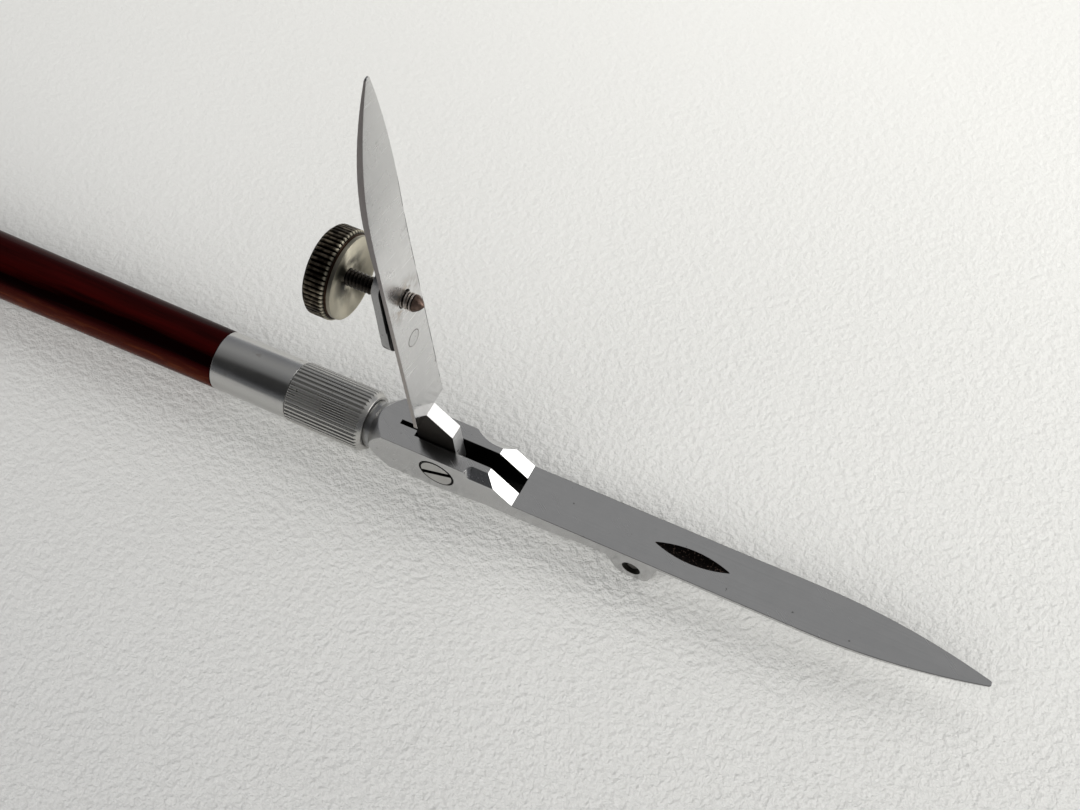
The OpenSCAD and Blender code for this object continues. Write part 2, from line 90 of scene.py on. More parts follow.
# Places of the solids, in millimetres, that finishes need
HINGE = (-19.95, 4.0)
CROSS_PIN = (0.0, 1.6)
SCREW_Z = 28.7
RIVET_Z = 22.85
SHOULDER_Z = 11.3
TONGUE_FRONT_Z = 8.85
BLADE_SIDE = 2.335
HEAD_TOP_Z = 6.45
NECK_END_X = -25.4
BLADE_ROOT_X = -9.0
UPPER_FRONT_X = -20.8
SLOT_X = (-24.72, -12.0)
SLOT_Y = (-0.865, 0.865)
SLOT_Z = (0.0, 6.495)
SEAT_X = (1.2, 8.9)
SEAT_Y = (-0.72, 0.72)
SEAT_Z = (3.4, 3.843)
RECESS_R = 1.84
SINK_R = 0.95

# Soil, wear, painted shade and painted reflections, in millimetres: where they begin and end
TARNISH_Z = (24.0, 34.0)
PAINTED_TIP_SHADE_Z = (33.0, 43.0)
INK_LINE_Y = (2.21, 2.27)
STAIN_R = (1.2, 2.8)
POLISH_Z = (SHOULDER_Z + 1.5, SHOULDER_Z + 5.0)
RIVET_RING_R = 0.77
PIVOT_RIM_R = (1.57, 1.61)
KNOB_THREAD_SHADE_R = (1.1, 3.0)
KNOB_WEDGE_R = (3.6, 2.2)
CREST_R = (0.70, 0.75)
# Roughness of the tongue's ground front and bevel
TONGUE_ROUGH = 0.8
BEVEL_ROUGH = 0.45
# Way across the pivot screw's head, along X and Z, and how far from its middle the dirt is wiped off below
WIPED_WAY = (0.34, 0.94)
WIPED_FROM, WIPED_TO = -1.0, -0.7
# Way of the dark wedges painted across the knob's dish as the reflections of its turned face, along Y and Z,
# and the cosines at their sides and middle
KNOB_WEDGE = (-0.38, 0.92)
KNOB_WEDGE_COS = (0.87, 0.985)
# Way round the handle, by the Y and Z of its normal, from the painted dark reflection on its near side to its
# far top
HANDLE_WAY = (0.9, 0.44)
# Scratches, as repeats per millimetre along each axis after a turn in degrees
SLANTING = ((0.25, 9, 9), (0, 0, 35))
ACROSS = ((9, 0.25, 9), (13.5, 0, 0))
# Grinding lines, as repeats per millimetre along each axis
ALONG_PEN = (0.05, 6, 6)
UP_BLADE = (6, 6, 0.05)

# Details that are finer than the solids, in millimetres
EDGE_ROUND = 0.05
FINE_ROUND = 0.03
ROUND_SEGMENTS = 128
SMALL_SEGMENTS = 64
HANDLE_END_LEN = 13
HANDLE_END_ARC = 34
HANDLE_FRONT_ROUND = 0.08
HANDLE_END_ROUND = 0.3
FERRULE_RIM = (0.07, 0.06)
CREST_SHARE = 0.35
GROOVE_POWER = 1.6
COLLAR_RIDGES = 40
COLLAR_RIDGE_SEGMENTS = 12
COLLAR_GROOVE = 0.16
COLLAR_CONE = 0.55
COLLAR_FACE_R = 2.62
COLLAR_RIM = 0.15
COLLAR_RECESS = 0.3
COLLAR_BORE_R = 2.32
SHANK_R = 1.6
TANG_R = 1.25
KNOB_TEETH = 56
KNOB_TOOTH_SEGMENTS = 10
KNOB_TOOTH = 0.28
KNOB_STEP = 0.55
KNOB_STEP_R = 3.72
KNOB_CHAMFER = 0.35
KNOB_DISH = 0.45
KNOB_LIP = 0.2
KNOB_FRONT_BEVEL = (0.16, 0.22)
KNOB_UNDERCUT = 0.12
KNOB_UNDERCUT_END = 0.2
THREAD_PITCH = 0.35
THREAD_DEPTH = 0.14
THREAD_POWER = 1.2
THREAD_END_SHARE = 0.3
THREAD_ROWS = 12
THREAD_SEGMENTS = 48
TIP_CONE = 1.25
TIP_ARC = 1.5
TIP_GROOVE = 0.12
TIP_RING = (0.1, 0.24)
TIP_BULLET = 0.36
STEM_R = 0.34
PLATE_W = 4.56
PLATE_T = 0.8
PLATE_BEND = 3.0
PLATE_GAP = 0.3
PLATE_END_GAP = 0.57
PLATE_EDGE = 0.05
PLATE_STEPS = 8
PLATE_SEGMENTS = 160
BORE_R = 0.82
RIVET_R = 0.5
RIVET_END_R = 0.85
RIVET_PROUD = 0.03
UPPER_T = 0.4


def mesh_object(name, verts, faces, body, node, material, sharp_deg=32):
    """Adds a smooth mesh in metres that stands for a node, rides on its body and takes the given finish."""
    mesh = bpy.data.meshes.new(name)
    mesh.from_pydata(verts, [], faces)
    mesh.validate()
    mesh.shade_smooth()
    mesh.set_sharp_from_angle(angle=math.radians(sharp_deg))
    piece = bpy.data.objects.new(name, mesh)
    bpy.context.scene.collection.objects.link(piece)
    mesh.materials.append(material)
    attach(piece, body)
    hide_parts(node)


def softened(corners, radius, steps=3):
    """Profile with every corner between its ends drawn as a small curve."""
    points = [corners[0]]
    for before, corner, after in zip(corners, corners[1:], corners[2:]):
        a, b, c = Vector(before), Vector(corner), Vector(after)
        cut_in = min(radius, (b - a).length * 0.4)
        cut_out = min(radius, (c - b).length * 0.4)
        start = b + (a - b).normalized() * cut_in
        end = b + (c - b).normalized() * cut_out
        for i in range(steps + 1):
            t = i / steps
            points.append(tuple((1 - t) ** 2 * start + 2 * t * (1 - t) * b + t ** 2 * end))
    points.append(corners[-1])
    return points


def filled(profile, spacing):
    """Profile with extra points so that no two are further apart along the axis than spacing."""
    points = [profile[0]]
    for a, b in zip(profile, profile[1:]):
        parts = max(1, math.ceil(abs(b[0] - a[0]) / spacing))
        points += [(a[0] + (b[0] - a[0]) * i / parts, a[1] + (b[1] - a[1]) * i / parts)
                   for i in range(1, parts + 1)]
    return points


def turned(place, axis, profile, segments, relief=None, loop=False):
    """Vertices in metres and faces of a turned form, from (along, radius) pairs in millimetres.

    relief gives the radius from the angle in turns and the profile's along and radius. A profile that
    doesn't loop is closed by flat ends, or by points where its radius is nothing.
    """
    side = axis.orthogonal().normalized()
    up = axis.cross(side)
    verts, rings = [], []
    for along, radius in profile:
        centre = place + axis * along * MM
        if radius <= 0:
            rings.append([len(verts)] * segments)
            verts.append(centre)
            continue
        rings.append(list(range(len(verts), len(verts) + segments)))
        for i in range(segments):
            share = i / segments
            r = relief(share, along, radius) if relief else radius
            verts.append(centre + (side * math.cos(TURN * share) + up * math.sin(TURN * share)) * r * MM)
    faces = []
    pairs = list(zip(rings, rings[1:]))
    if loop:
        pairs.append((rings[-1], rings[0]))
    for low, high in pairs:
        for i in range(segments):
            j = (i + 1) % segments
            face = []
            for v in (low[i], low[j], high[j], high[i]):
                if v not in face:
                    face.append(v)
            if len(face) > 2:
                faces.append(face)
    if not loop:
        if profile[0][1] > 0:
            faces.append(rings[0][::-1])
        if profile[-1][1] > 0:
            faces.append(rings[-1])
    return verts, faces


class Shader:
    """A principled material that is put together node by node."""

    def __init__(self, name, **sockets):
        self.material = bpy.data.materials.new(name)
        self.material.use_nodes = True
        self.tree = self.material.node_tree
        self.bsdf = self.tree.nodes["Principled BSDF"]
        for socket, value in sockets.items():
            self.bsdf.inputs[socket.replace("_", " ")].default_value = value
        coords = self.add("ShaderNodeTexCoord")
        self.object_coords = coords.outputs["Object"]
        self.places = self.add("ShaderNodeSeparateXYZ", {0: self.object_coords})
        self.normals = self.add("ShaderNodeSeparateXYZ", {0: coords.outputs["Normal"]})

    def add(self, kind, inputs=(), **settings):
        node = self.tree.nodes.new(kind)
        for key, value in settings.items():
            setattr(node, key, value)
        for key, value in dict(inputs).items():
            if isinstance(value, bpy.types.NodeSocket):
                self.tree.links.new(value, node.inputs[key])
            else:
                node.inputs[key].default_value = value
        return node

    def feed(self, socket, value):
        self.tree.links.new(value, self.bsdf.inputs[socket])

    def placed(self, per_mm, turn=(0, 0, 0)):
        """Object coordinates in repeats per millimetre along each axis, after a turn in degrees."""
        turned_by = self.add("ShaderNodeMapping", {
            "Vector": self.object_coords, "Rotation": [math.radians(a) for a in turn],
        })
        return self.add("ShaderNodeMapping", {
            "Vector": turned_by.outputs["Vector"], "Scale": [s / MM for s in per_mm],
        }).outputs["Vector"]

    def noise(self, vector, detail=2.0, roughness=0.5):
        return self.add("ShaderNodeTexNoise", {
            "Vector": vector, "Scale": 1.0, "Detail": detail, "Roughness": roughness,
        }).outputs["Fac"]

    def levels(self, value, low, high, to_low=0.0, to_high=1.0):
        return self.add("ShaderNodeMapRange", {
            "Value": value, "From Min": low, "From Max": high, "To Min": to_low, "To Max": to_high,
        }).outputs["Result"]

    def maths(self, operation, *values):
        return self.add("ShaderNodeMath", dict(enumerate(values)), operation=operation).outputs[0]

    def along(self, axis):
        """One object coordinate in millimetres."""
        return self.maths("MULTIPLY", self.places.outputs[axis], 1 / MM)

    def within(self, axis, low, high):
        """1 where a coordinate in millimetres lies between two values, else 0."""
        return self.maths("COMPARE", self.along(axis), (low + high) / 2, (high - low) / 2)

    def gaps(self, axes, centre):
        """Distances in millimetres from a place along each of the named axes."""
        return [self.maths("SUBTRACT", self.along(axis), at) for axis, at in zip(axes, centre)]

    def off_line(self, axis, centre):
        """Distance in millimetres from a line along an axis through a place given by the other two axes."""
        squares = [self.maths("MULTIPLY", gap, gap) for gap in self.gaps("XYZ".replace(axis, ""), centre)]
        return self.maths("SQRT", self.maths("ADD", *squares))

    def weighed(self, values, shares):
        """Sum of two values, each times its share."""
        return self.maths("ADD", *(self.maths("MULTIPLY", v, share) for v, share in zip(values, shares)))

    def sideways(self, axis, least=0.7):
        """1 on faces that look along an axis, either way, else 0."""
        return self.maths("GREATER_THAN", self.maths("ABSOLUTE", self.normals.outputs[axis]), least)

    def both(self, *masks):
        whole = masks[0]
        for mask in masks[1:]:
            whole = self.maths("MULTIPLY", whole, mask)
        return whole

    def either(self, *masks):
        whole = masks[0]
        for mask in masks[1:]:
            whole = self.maths("MAXIMUM", whole, mask)
        return whole

    def mix(self, share, a, b):
        node = self.add("ShaderNodeMix", data_type="RGBA")
        for key, value in (("Factor_Float", share), ("A_Color", a), ("B_Color", b)):
            socket = next(s for s in node.inputs if s.identifier == key)
            if isinstance(value, bpy.types.NodeSocket):
                self.tree.links.new(value, socket)
            else:
                socket.default_value = value
        return next(s for s in node.outputs if s.identifier == "Result_Color")

    def bump(self, height, distance_mm, strength=1.0, under=None):
        inputs = {"Height": height, "Distance": distance_mm * MM, "Strength": strength}
        if under is not None:
            inputs["Normal"] = under
        return self.add("ShaderNodeBump", inputs).outputs["Normal"]

    def finish(self, colour, roughness, soil_and_shade=None):
        """Feeds the colour and the roughness, with dirt and painted shade, given as a (share, colour) pair,
        laid over them.
        """
        if soil_and_shade:
            share, dirt = soil_and_shade
            colour = self.mix(share, colour, dirt)
            roughness = self.maths("MAXIMUM", roughness, self.maths("MULTIPLY", share, 0.5))
        self.feed("Base Color", colour)
        self.feed("Roughness", roughness)
        return self.material


def grey(value, warm=0.0):
    return (value * (1 + warm), value, value * (1 - warm), 1.0)


def blade_steel(name, tone, rough, scratched, score=0.0, grind=ALONG_PEN, soil_and_shade=None, polish=None):
    """Ground and polished steel with fine grinding lines, slanting scratches, smears and small specks."""
    shader = Shader(name, Metallic=1.0)
    smear = shader.noise(shader.placed((0.12, 0.3, 0.3)), detail=4)
    lines = shader.noise(shader.placed(grind), detail=3)
    scratches = shader.noise(shader.placed(*scratched), detail=1)
    scratch = shader.levels(scratches, 0.64, 0.74)
    patches = shader.noise(shader.placed((0.3, 0.3, 0.3)), detail=1)
    bright = shader.both(scratch, shader.levels(patches, 0.42, 0.6, 0, score))
    specks = shader.noise(shader.placed((1.6, 1.6, 1.6)), detail=2)
    speck = shader.levels(specks, 0.73, 0.79)
    cloud = shader.levels(shader.noise(shader.placed((0.9, 0.9, 0.9)), detail=5), 0.3, 0.7, 0, 0.3)
    clean = shader.mix(smear, grey(tone * 0.93), grey(tone * 1.08, 0.01))
    clouded = shader.mix(cloud, clean, grey(tone * 0.86))
    lined = shader.mix(shader.levels(lines, 0.3, 0.7, 0, 0.2), clouded, grey(tone * 0.75))
    scored = shader.mix(bright, lined, grey(tone * 1.4))
    colour = shader.mix(speck, scored, grey(tone * 0.22, 0.08))
    roughness = shader.levels(smear, 0.3, 0.7, rough * 0.75, rough * 1.25)
    roughness = shader.maths("ADD", roughness, shader.maths("MULTIPLY", scratch, 0.08))
    if polish:
        roughness = polish(shader, roughness)
    fine = shader.bump(lines, 0.0006)
    shader.feed("Normal", shader.bump(scratch, -0.0012, under=fine))
    return shader.finish(colour, roughness, soil_and_shade(shader) if soil_and_shade else None)


def lower_blade_soil_and_shade(shader):
    """Black grease in the recess, black painted shade in the slot and countersinks, rusty dirt in the seat,
    painted shade on the neck and a painted dark reflection along the rounded edges.
    """
    inside = shader.within("Y", -BLADE_SIDE, BLADE_SIDE)
    # Painted shade: the slot's walls and broken edges are black.
    slot = shader.both(shader.within("X", *SLOT_X), shader.within("Y", *SLOT_Y), shader.within("Z", *SLOT_Z))
    recess = shader.both(inside, shader.maths("LESS_THAN", shader.off_line("Y", HINGE), RECESS_R))
    # Painted shade: the countersink round the cross pin is black.
    sink = shader.both(inside, shader.maths("LESS_THAN", shader.off_line("Y", CROSS_PIN), SINK_R))
    seat = shader.both(shader.within("X", *SEAT_X), shader.within("Y", *SEAT_Y), shader.within("Z", *SEAT_Z))
    rust = shader.noise(shader.placed((4.5, 4.5, 4.5)), detail=3)
    rusty = shader.mix(shader.levels(rust, 0.57, 0.7), (0.012, 0.010, 0.009, 1), (0.19, 0.13, 0.105, 1))
    # Painted shade: the neck is darker grey, for the dark room that it mirrors.
    neck = shader.both(inside, shader.maths("LESS_THAN", shader.along("X"), NECK_END_X),
                       shader.maths("LESS_THAN", shader.along("Z"), HEAD_TOP_Z))
    dirt = shader.mix(seat, shader.mix(neck, (0.02, 0.018, 0.015, 1), grey(0.2)), rusty)
    # Painted reflection: dark along the blade's rounded edges.
    edge = shader.both(shader.sideways("Y", 0.25), shader.sideways("Z", 0.25),
                       shader.maths("GREATER_THAN", shader.along("X"), BLADE_ROOT_X))
    shares = [shader.maths("MULTIPLY", mask, share) for mask, share in ((neck, 0.6), (edge, 0.8))]
    return shader.either(slot, recess, seat, sink, *shares), dirt


def upper_blade_soil_and_shade(shader):
    """Tarnish on the sides, painted shade that darkens the front towards the tip, an ink line on the far edge
    and a stain at the screw.
    """
    height = shader.along("Z")
    side = shader.sideways("Y")
    tarnish = shader.mix(shader.levels(height, *TARNISH_Z), (0.42, 0.39, 0.37, 1), (0.27, 0.25, 0.245, 1))
    edge = shader.mix(shader.maths("LESS_THAN", height, SHOULDER_Z - 0.1), tarnish, (0.032, 0.027, 0.023, 1))
    # Painted shade: the front gets darker towards the tip.
    painted_tip_shade = shader.levels(height, *PAINTED_TIP_SHADE_Z, 0.0, 0.5)
    ink = shader.noise(shader.placed((1.5, 1.5, 0.5)), detail=3)
    line = shader.both(shader.levels(shader.along("Y"), *INK_LINE_Y), shader.levels(ink, 0.38, 0.52))
    blot = shader.noise(shader.placed((1.1, 1.1, 1.1)), detail=3)
    stain = shader.both(shader.levels(shader.off_line("X", (0.0, SCREW_Z)), *STAIN_R, 0.7, 0.0),
                        shader.levels(blot, 0.42, 0.58))
    front = shader.mix(line, shader.mix(stain, grey(0.34), (0.5, 0.41, 0.32, 1)), grey(0.05))
    return shader.either(side, painted_tip_shade, stain, line), shader.mix(side, front, edge)


def upper_blade_polish(shader, roughness):
    """Mirror polish that is left by the shoulder, a ground bevel and a dull front on the tongue."""
    height = shader.along("Z")
    worn = shader.levels(height, *POLISH_Z, 0.3, 1.0)
    front = shader.both(shader.maths("GREATER_THAN", shader.normals.outputs["X"], 0.9),
                        shader.maths("LESS_THAN", height, TONGUE_FRONT_Z))
    bevel = shader.both(*(shader.maths("GREATER_THAN", shader.normals.outputs[axis], 0.5) for axis in "XZ"))
    return shader.either(shader.both(roughness, worn), shader.both(front, TONGUE_ROUGH),
                         shader.both(bevel, BEVEL_ROUGH))


def nut_plate_gap_shade(shader):
    """Painted shade: black on the side that faces the blade, in the gap between them."""
    # Painted shade in the gap between plate and blade.
    hidden = shader.maths("GREATER_THAN", shader.normals.outputs["X"], 0.5)
    return hidden, grey(0.012)


def rivet_soil(shader):
    """Brown dirt in a ring round the rivet's end."""
    ring = shader.maths("GREATER_THAN", shader.off_line("X", (0.0, RIVET_Z)), RIVET_RING_R)
    return shader.maths("MULTIPLY", ring, 0.85), grey(0.16, 0.1)


def pivot_soil(shader):
    """Black dirt in the driver slot and round the screw's rim, wiped off along its lower edge."""
    rim = shader.levels(shader.off_line("Y", HINGE), *PIVOT_RIM_R)
    kept = shader.levels(shader.weighed(shader.gaps("XZ", HINGE), WIPED_WAY), WIPED_FROM, WIPED_TO, 0.12, 1.0)
    return shader.either(shader.within("Y", -BLADE_SIDE, BLADE_SIDE), shader.both(rim, kept)), grey(0.015)


def turned_metal(name, colour, rough, lines_per_mm=7, line_depth=0.0012, soil_and_shade=None):
    """Plated metal with fine turning lines across its axis and a little tarnish."""
    shader = Shader(name, Metallic=1.0)
    lines = shader.noise(shader.placed((lines_per_mm, 0.02, 0.02)), detail=3)
    smear = shader.noise(shader.placed((0.3, 0.3, 0.3)), detail=4)
    spots = shader.noise(shader.placed((1.3, 1.3, 1.3)), detail=3)
    tint = tuple(c * 0.9 for c in colour[:3]) + (1.0,)
    plate = shader.mix(smear, tint, colour)
    stained = shader.mix(shader.levels(spots, 0.66, 0.8, 0, 0.7), plate, (0.3, 0.27, 0.22, 1))
    roughness = shader.levels(smear, 0.3, 0.7, rough * 0.75, rough * 1.3)
    shader.feed("Normal", shader.bump(lines, line_depth))
    return shader.finish(stained, roughness, soil_and_shade(shader) if soil_and_shade else None)


def handle_finish():
    """Very dark red gloss with a painted dark reflection along the near side and, below it, a lighter,
    flecked glow: the painted reflection of the bright paper.
    """
    shader = Shader("handle_gloss", Coat_Weight=0.6, Coat_IOR=1.15, Coat_Roughness=0.08,
                    Specular_IOR_Level=0.0)
    grain = shader.noise(shader.placed((0.06, 0.9, 0.9)), detail=4, roughness=0.6)
    flecks = shader.noise(shader.placed((0.35, 2.2, 2.2)), detail=2)
    body = shader.mix(shader.levels(grain, 0.35, 0.7),
                      (0.008, 0.0002, 0.0002, 1), (0.027, 0.0008, 0.0006, 1))
    round_it = shader.weighed([shader.normals.outputs[axis] for axis in "YZ"], HANDLE_WAY)
    across = shader.maths("ADD", round_it, shader.levels(grain, 0.3, 0.7, -0.12, 0.12))
    # Painted reflections: a dark one along the near side, and a flecked glow of the bright paper along the
    # lower side.
    painted_dark_reflection = shader.both(shader.levels(across, 0.2, -0.1), shader.levels(across, -0.55, -0.35))
    painted_paper_glow = shader.levels(across, -0.5, -1.0)
    with_dark_reflection = shader.mix(painted_dark_reflection, body, (0.0015, 0.0001, 0.0001, 1))
    warm = shader.mix(shader.levels(flecks, 0.5, 0.68), (0.05, 0.005, 0.001, 1), (0.09, 0.018, 0.004, 1))
    colour = shader.mix(painted_paper_glow, with_dark_reflection, warm)
    shader.feed("Normal", shader.bump(shader.noise(shader.placed((0.5, 0.8, 0.8)), detail=2), 0.004))
    return shader.finish(colour, shader.levels(grain, 0.3, 0.7, 0.3, 0.4))


def paper_finish():
    """Off-white drawing paper with a pressed grain, its colour painted lighter towards the window: painted
    light.
    """
    shader = Shader("drawing_paper", Specular_IOR_Level=0.4)
    tooth = shader.noise(shader.placed((1.4, 1.4, 1.4)), detail=3, roughness=0.6)
    felt = shader.noise(shader.placed((0.25, 0.25, 0.25)), detail=2)
    place = [shader.places.outputs[axis] for axis in "XY"]
    # Painted light: the colour gets lighter towards the window.
    painted_light = shader.levels(shader.weighed(place, PAPER_WAY), PAPER_FROM, PAPER_TO)
    coarse = shader.levels(shader.weighed(place, TOOTH_WAY), TOOTH_FROM, TOOTH_TO, TOOTH_FINE, TOOTH_COARSE)
    low = shader.bump(felt, FELT_DEPTH, coarse)
    shader.feed("Normal", shader.bump(tooth, TOOTH_DEPTH, coarse, under=low))
    colour = shader.mix(painted_light, PAPER_PAINTED_DIM, PAPER_PAINTED_LIT)
    return shader.finish(colour, shader.levels(felt, 0.3, 0.7, 0.48, 0.56))


def tip_finish():
    """Tarnished bronze, dull and pitted, with a bright ring between black grooves."""
    shader = Shader("tarnished_bronze", Metallic=1.0)
    blotch = shader.noise(shader.placed((1.8, 1.8, 1.8)), detail=4)
    pits = shader.noise(shader.placed((6, 6, 6)), detail=2)
    shader.feed("Normal", shader.bump(pits, 0.035, 0.8))
    bronze = shader.mix(shader.levels(blotch, 0.35, 0.65),
                        (0.085, 0.058, 0.047, 1), (0.21, 0.145, 0.117, 1))
    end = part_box("screw_tip")[1].x / MM
    base = end - TIP_CONE
    grooved = shader.mix(shader.within("X", base - 0.1, base + TIP_BULLET), bronze, grey(0.01))
    colour = shader.mix(shader.within("X", *(base + at for at in TIP_RING)), grooved, (0.55, 0.49, 0.45, 1))
    polish = shader.levels(shader.along("X"), end - 0.25, end - 0.05, 1.0, 0.3)
    return shader.finish(colour, shader.both(shader.levels(blotch, 0.3, 0.7, 0.3, 0.48), polish))


def thread_finish():
    """Black oiled thread, worn bright on the crests in front of the blade."""
    shader = Shader("dark_thread", Metallic=1.0)
    blotch = shader.noise(shader.placed((2, 2, 2)), detail=3)
    crest = shader.levels(shader.off_line("X", (0.0, SCREW_Z)), *CREST_R)
    in_front = shader.levels(shader.along("X"), UPPER_FRONT_X - 0.2, UPPER_FRONT_X, 0.04, 1.0)
    worn = shader.both(crest, in_front)
    dark = shader.mix(blotch, (0.015, 0.013, 0.011, 1), (0.04, 0.034, 0.028, 1))
    colour = shader.mix(worn, dark, (0.52, 0.47, 0.43, 1))
    return shader.finish(colour, shader.levels(blotch, 0.3, 0.7, 0.2, 0.35))


def knob_finish():
    """Champagne-coloured nickel silver, turned in rings, with painted reflections and painted shade in the
    dish and dirt between its teeth.
    """
    shader = Shader("nickel_silver_turned", Metallic=1.0, Anisotropic=0.95, Anisotropic_Rotation=0.25)
    tangent = shader.add("ShaderNodeTangent", direction_type="RADIAL", axis="X")
    shader.feed("Tangent", tangent.outputs["Tangent"])
    top = radius_of("thumb_knob")
    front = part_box("thumb_knob")[1].x / MM - KNOB_STEP
    radius = shader.off_line("X", (0.0, SCREW_Z))
    smear = shader.noise(shader.placed((0.5, 0.5, 0.5)), detail=4)
    face = shader.mix(smear, (0.57, 0.53, 0.42, 1), (0.77, 0.72, 0.59, 1))
    # Painted shade in the dish round the thread, in patches.
    painted_thread_shade = shader.both(shader.levels(radius, *KNOB_THREAD_SHADE_R, 1.0, 0.0), shader.levels(smear, 0.4, 0.56))
    # Painted reflections: dark wedges across the dish, as its turned face mirrors them.
    aside = shader.weighed(shader.gaps("YZ", (0.0, SCREW_Z)), KNOB_WEDGE)
    cosine = shader.maths("DIVIDE", shader.maths("ABSOLUTE", aside), radius)
    painted_wedge = shader.both(shader.levels(cosine, *KNOB_WEDGE_COS, 0.0, 0.8),
                        shader.levels(radius, *KNOB_WEDGE_R))
    dished = shader.mix(shader.either(painted_thread_shade, painted_wedge), face, (0.035, 0.03, 0.022, 1))
    fleck = shader.noise(shader.placed((1.5, 1.5, 1.5)), detail=4)
    worn = shader.mix(shader.levels(fleck, 0.42, 0.62), (0.045, 0.036, 0.027, 1), (0.25, 0.21, 0.155, 1))
    lip = shader.levels(shader.along("X"), front - 0.35, front - 0.15)
    crest = shader.mix(lip, worn, (0.62, 0.57, 0.45, 1))
    rim = shader.mix(shader.levels(radius, top - KNOB_TOOTH * 0.8, top - 0.06), grey(0.008, 0.2), crest)
    on_rim = shader.levels(radius, KNOB_STEP_R - 0.02, KNOB_STEP_R + 0.02)
    knurled = shader.mix(on_rim, dished, rim)
    groove = shader.both(shader.within("X", front - 0.04, front + 0.18),
                         shader.maths("COMPARE", radius, KNOB_STEP_R - 0.1, 0.15))
    colour = shader.mix(groove, knurled, (0.09, 0.055, 0.035, 1))
    return shader.finish(colour, shader.levels(smear, 0.3, 0.7, 0.42, 0.54))


def make_camera():
    data = bpy.data.cameras.new("camera")
    data.sensor_fit = "HORIZONTAL"
    data.sensor_width = 36
    data.lens = CAMERA_LENS
    data.clip_start = 0.01
    camera = bpy.data.objects.new("camera", data)
    bpy.context.scene.collection.objects.link(camera)
    back = CAMERA_RIGHT.cross(CAMERA_UP)
    turn = Matrix((CAMERA_RIGHT, CAMERA_UP, back)).transposed()
    camera.matrix_world = Matrix.Translation(CAMERA_PLACE) @ turn.to_4x4()
    bpy.context.scene.camera = camera


def make_floor():
    half = FLOOR_SIZE / 2
    mesh = bpy.data.meshes.new("floor")
    corners = [(-half, -half, 0), (half, -half, 0), (half, half, 0), (-half, half, 0)]
    mesh.from_pydata(corners, [], [(0, 1, 2, 3)])
    mesh.materials.append(paper_finish())
    floor = bpy.data.objects.new("floor", mesh)
    bpy.context.scene.collection.objects.link(floor)


def make_lamp(name, place, size, watts, mirrored):
    """Adds an area lamp that faces the origin; the metal shows it only if it is mirrored."""
    data = bpy.data.lights.new(name, "AREA")
    data.shape = "RECTANGLE"
    data.size, data.size_y = size
    data.energy = watts
    data.color = LAMP_COLOUR
    lamp = bpy.data.objects.new(name, data)
    lamp.visible_camera = False
    lamp.visible_glossy = mirrored
    bpy.context.scene.collection.objects.link(lamp)
    lamp.matrix_world = Matrix.Translation(place) @ place.to_track_quat("Z", "Y").to_matrix().to_4x4()


def make_room():
    """World light by direction: palest low down, dimmer on the near side and dark at the viewer."""
    world = bpy.data.worlds.new("room")
    bpy.context.scene.world = world
    world.use_nodes = True
    tree = world.node_tree
    way = tree.nodes.new("ShaderNodeTexCoord").outputs["Generated"]
    parts = tree.nodes.new("ShaderNodeSeparateXYZ")
    tree.links.new(way, parts.inputs[0])
    height = tree.nodes.new("ShaderNodeValToRGB")
    ramp = height.color_ramp
    while len(ramp.elements) < len(ROOM_STOPS):
        ramp.elements.new(1.0)
    for element, (at, colour) in zip(ramp.elements, ROOM_STOPS):
        element.position = at
        element.color = (*colour, 1)
    tree.links.new(parts.outputs["Z"], height.inputs["Fac"])

    def ranged(value, low, high, to_low, to_high):
        node = tree.nodes.new("ShaderNodeMapRange")
        for key, limit in zip(("From Min", "From Max", "To Min", "To Max"), (low, high, to_low, to_high)):
            node.inputs[key].default_value = limit
        tree.links.new(value, node.inputs["Value"])
        return node.outputs["Result"]

    depth = ranged(parts.outputs["Y"], -ROOM_SIDE, ROOM_SIDE, ROOM_NEAR_LIGHT, 1.0)
    towards = tree.nodes.new("ShaderNodeVectorMath")
    towards.operation = "DOT_PRODUCT"
    tree.links.new(way, towards.inputs[0])
    towards.inputs[1].default_value = VIEWER_WAY
    viewer = ranged(towards.outputs["Value"], math.cos(math.radians(VIEWER_GONE_DEG)),
                    math.cos(math.radians(VIEWER_FULL_DEG)), 1.0, VIEWER_LIGHT)
    strength = tree.nodes.new("ShaderNodeMath")
    strength.operation = "MULTIPLY"
    tree.links.new(depth, strength.inputs[0])
    tree.links.new(viewer, strength.inputs[1])
    background = tree.nodes["Background"]
    tree.links.new(height.outputs["Color"], background.inputs["Color"])
    tree.links.new(strength.outputs[0], background.inputs["Strength"])


def rounded_edges(node, width_mm):
    """Breaks the sharp edges of a CAD node."""
    weld = nodes[node].modifiers.new("weld", "WELD")
    weld.merge_threshold = 1e-7
    flats = nodes[node].modifiers.new("flats", "DECIMATE")
    flats.decimate_type = "DISSOLVE"
    flats.angle_limit = math.radians(0.5)
    bevel = nodes[node].modifiers.new("broken_edges", "BEVEL")
    bevel.use_clamp_overlap = False
    bevel.width = width_mm * MM
    bevel.segments = 2
    bevel.limit_method = "ANGLE"
    bevel.angle_limit = math.radians(25)
    bevel.harden_normals = True


def dress(node, material, edge_mm=None):
    nodes[node].data.materials.clear()
    nodes[node].data.materials.append(material)
    if edge_mm:
        rounded_edges(node, edge_mm)


def axis_place(node, x):
    """Place at x on the axis of a round node that lies along the pen."""
    low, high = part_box(node)
    return Vector((x, 0, (low.z + high.z) / 2))


def radius_of(node):
    low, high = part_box(node)
    return (high.z - low.z) / 2 / MM


def length_of(node):
    low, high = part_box(node)
    return (high.x - low.x) / MM


